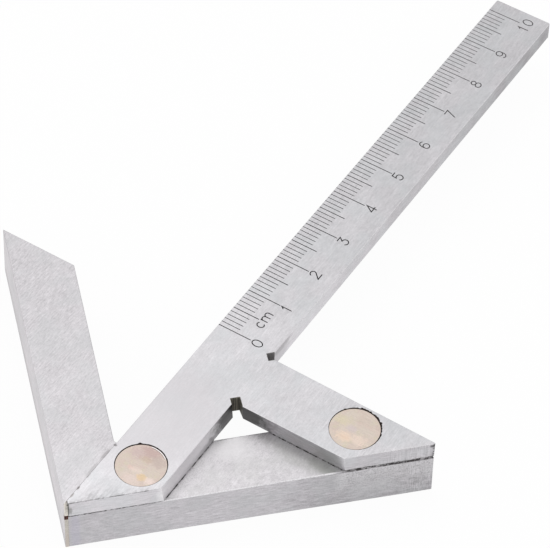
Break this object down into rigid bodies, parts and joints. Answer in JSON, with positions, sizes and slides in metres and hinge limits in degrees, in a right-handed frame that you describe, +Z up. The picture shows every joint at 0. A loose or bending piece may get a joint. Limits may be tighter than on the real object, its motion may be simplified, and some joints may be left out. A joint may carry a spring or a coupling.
{
  "type": "centre-finding square",
  "caption": "Steel centre square: an L-shaped stock with a V between its legs, and a graduated rule with a cross arm that halves it.",
  "frame": {"origin": "under the middle of the square's outline, on the plane that the stock stands on", "axes": "+Z up out of the top faces, +Y along the rule's working edge from the stock to the rule's free end, +X towards the right leg, the one that carries the blade"},
  "size_m": [0.0936, 0.1526, 0.0126],
  "materials": {
    "stock_steel": "ground and brushed, satin",
    "blade_steel": "ground along the rule, satin",
    "rivet_metal": "pale brass, ground flush"
  },
  "bodies": {
    "root": {"left_leg": "stock_steel", "right_leg": "stock_steel", "blade": "blade_steel", "corner_rivet": "rivet_metal", "arm_rivet": "rivet_metal"}
  },
  "joints": []
}
